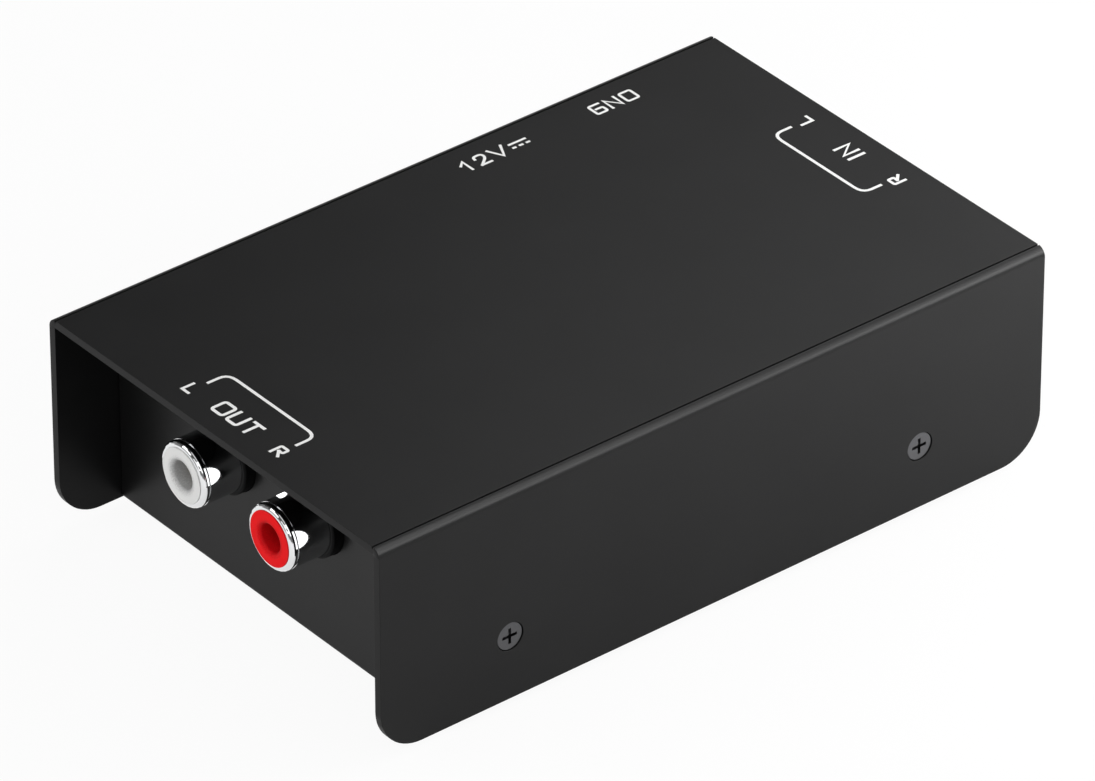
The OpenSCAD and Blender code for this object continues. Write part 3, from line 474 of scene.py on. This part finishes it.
def studio_white(name, seen, mirrored):
    """Pale diffuse ground that keeps the object's shadow, with plain white mixed over it.

    `seen` is the share of white for the camera and through glass, `mirrored` the share for gloss.
    """
    s = Material(name)
    s.tree.nodes.clear()
    ray = s.node("ShaderNodeLightPath").outputs
    straight = s.math("MAXIMUM", ray["Is Camera Ray"], ray["Is Transmission Ray"])
    white_seen = s.math("MULTIPLY", straight, seen)
    white_mirrored = s.math("MULTIPLY", ray["Is Glossy Ray"], mirrored)
    diffuse = s.node("ShaderNodeBsdfDiffuse")
    diffuse.inputs["Color"].default_value = (*STAGE_COLOR, 1)
    white = s.node("ShaderNodeEmission")
    white.inputs["Color"].default_value = (1, 1, 1, 1)
    white.inputs["Strength"].default_value = 1
    mix = s.node("ShaderNodeMixShader")
    s.link(s.math("MAXIMUM", white_seen, white_mirrored), mix.inputs["Fac"])
    s.link(diffuse.outputs[0], mix.inputs[1])
    s.link(white.outputs[0], mix.inputs[2])
    out = s.node("ShaderNodeOutputMaterial")
    s.link(mix.outputs[0], out.inputs["Surface"])
    return s.mat


def stage_piece(name, bm, material):
    """An object of the mesh in `bm`, on the floor's level."""
    mesh = bpy.data.meshes.new(name)
    bm.to_mesh(mesh)
    bm.free()
    mesh.materials.append(material)
    piece = bpy.data.objects.new(name, mesh)
    piece.location.z = FLOOR_Z - FLOOR_GAP
    return piece


def make_stage():
    """The floor, and a low wall all round its edge."""
    bm = bmesh.new()
    bmesh.ops.create_circle(bm, cap_ends=True, segments=STAGE_SEGMENTS, radius=STAGE_R)
    floor = stage_piece("floor", bm, studio_white("floor_white", seen=0.93, mirrored=0.21))
    bm = bmesh.new()
    bmesh.ops.create_circle(bm, segments=STAGE_SEGMENTS, radius=STAGE_R)
    for v in bmesh.ops.extrude_edge_only(bm, edges=bm.edges[:])["geom"]:
        if isinstance(v, bmesh.types.BMVert):
            v.co.z += WALL_H
    wall = stage_piece("backdrop", bm, studio_white("backdrop_white", seen=1.0, mirrored=0.21))
    for o in (floor, wall):
        bpy.context.scene.collection.objects.link(o)
    return floor


# ---------- light ----------

SHELLS = [f"{end}_{side}_shell" for end in ("out", "in") for side in ("left", "right")]
# Softboxes: name, place, target, width and height in metres, radiance, white being about 1, and the
# CAD nodes that the lamp is kept to, or none where it lights the whole set. The chrome card lies just
# above the floor and faces up: it is the white table that the barrels mirror.
SOFTBOXES = (
    ("overhead", (-0.08, -0.16, 0.90), (0, 0, 0), 0.80, 0.80, 0.85, ()),
    ("fill", (-0.45, -0.55, 0.50), (0, 0, 0.01), 0.50, 0.50, 2.2, ()),
    ("right_key", (0.30, 0.10, 0.22), (0.03, 0, 0.01), 0.20, 0.20, 1.2, ()),
    ("right_rear", (0.30, 0.20, 0.40), (0.02, 0, 0.01), 0.30, 0.30, 1.2, ()),
    ("left_rear", (-0.45, 0.25, 0.30), (0, 0, 0.01), 0.30, 0.30, 3.3, ()),
    ("left", (-0.70, -0.15, 0.30), (0, 0, 0.01), 0.40, 0.40, 1.6, ()),
    ("edge_front", (0.16, -0.26, 0.335), (0.16, -0.03, 0.027), 0.20, 0.60, 6.0, ("top_cover",)),
    ("front", (0.40, -0.82, 0.46), (0, -0.03, 0.02), 0.60, 0.36, 3.0, ()),
    ("ground_front", (0.14, -0.13, 0.07), (0.14, -0.12, 0), 0.10, 0.10, 5.0, ()),
    ("ground_right", (0.18, -0.09, 0.10), (0.16, -0.09, 0), 0.14, 0.14, 5.5, ()),
    ("chrome_card", (0, 0, FLOOR_Z + 0.3 * MM), (0, 0, 1), 0.60, 0.60, 0.70, SHELLS),
)
WORLD = 0.12
# Glints on the OUT barrels: name, side, how far behind the barrel's front, degrees from its top towards
# the near side, and the lamp's distance from that place, its width and its height
GLINTS = (
    ("glint_left", "left", 0.9 * MM, 68, 7.0 * MM, 2.2 * MM, 9.3 * MM),
    ("glint_right", "right", 0.9 * MM, 68, 7.0 * MM, 2.2 * MM, 9.3 * MM),
    ("glint_top", "right", 3.1 * MM, -25, 3.0 * MM, 1.2 * MM, 3.8 * MM),
)
GLINT_RADIANCE = 2.3


def kept_to(name, objects):
    """A collection that names what a lamp lights, or what shades it."""
    made = bpy.data.collections.new(name)
    for o in objects:
        made.objects.link(o)
    return made


def area_lamp(name, shape, place, towards, width, height, radiance, lit):
    """Area lamp that faces along `towards` and, where `lit` names CAD nodes, lights them alone."""
    data = bpy.data.lights.new(name, "AREA")
    data.shape = shape
    data.size, data.size_y = width, height
    data.energy = radiance * math.pi * width * height
    lamp = bpy.data.objects.new(name, data)
    lamp.location = place
    lamp.rotation_mode = "QUATERNION"
    lamp.rotation_quaternion = towards.to_track_quat("-Z", "Y")
    lamp.visible_camera = False
    if lit:
        lamp.light_linking.receiver_collection = kept_to(f"{name}_lit", [nodes[n] for n in lit])
    bpy.context.scene.collection.objects.link(lamp)
    return lamp


def make_light():
    world = bpy.data.worlds.new("studio")
    bpy.context.scene.world = world
    world.use_nodes = True
    sky = world.node_tree.nodes["Background"]
    sky.inputs["Color"].default_value = (1, 1, 1, 1)
    sky.inputs["Strength"].default_value = WORLD
    for name, place, target, width, height, radiance, lit in SOFTBOXES:
        towards = Vector(target) - Vector(place)
        area_lamp(name, "RECTANGLE", place, towards, width, height, radiance, lit)


def make_glints(floor):
    """Window-like glints on the OUT barrels, from small lamps that only the floor can shade."""
    view = bpy.context.scene.camera.rotation_quaternion @ Vector((0, 0, 1))
    shading = kept_to("glint_shading", [floor])
    for name, side, behind, degrees, distance, width, height in GLINTS:
        turn = math.radians(degrees)
        normal = Vector((0, -math.sin(turn), math.cos(turn)))
        ray = 2 * normal.dot(view) * normal - view
        y = SOCKET_Y if side == "left" else -SOCKET_Y
        spot = Vector((SHELL_FRONT_X + behind, y, SOCKET_Z)) + normal * SHELL_R
        lamp = area_lamp(name, "ELLIPSE", spot + ray * distance, -ray, width, height, GLINT_RADIANCE,
                         [f"out_{side}_shell"])
        lamp.light_linking.blocker_collection = shading


# ---------- assembly ----------

make_camera()
finish_nodes()
soften(nodes["top_cover"], 0.09 * MM)
soften(nodes["chassis"], 0.06 * MM)
make_legend()
floor = make_stage()
make_light()
make_glints(floor)
bpy.context.scene.view_settings.view_transform = "Standard"
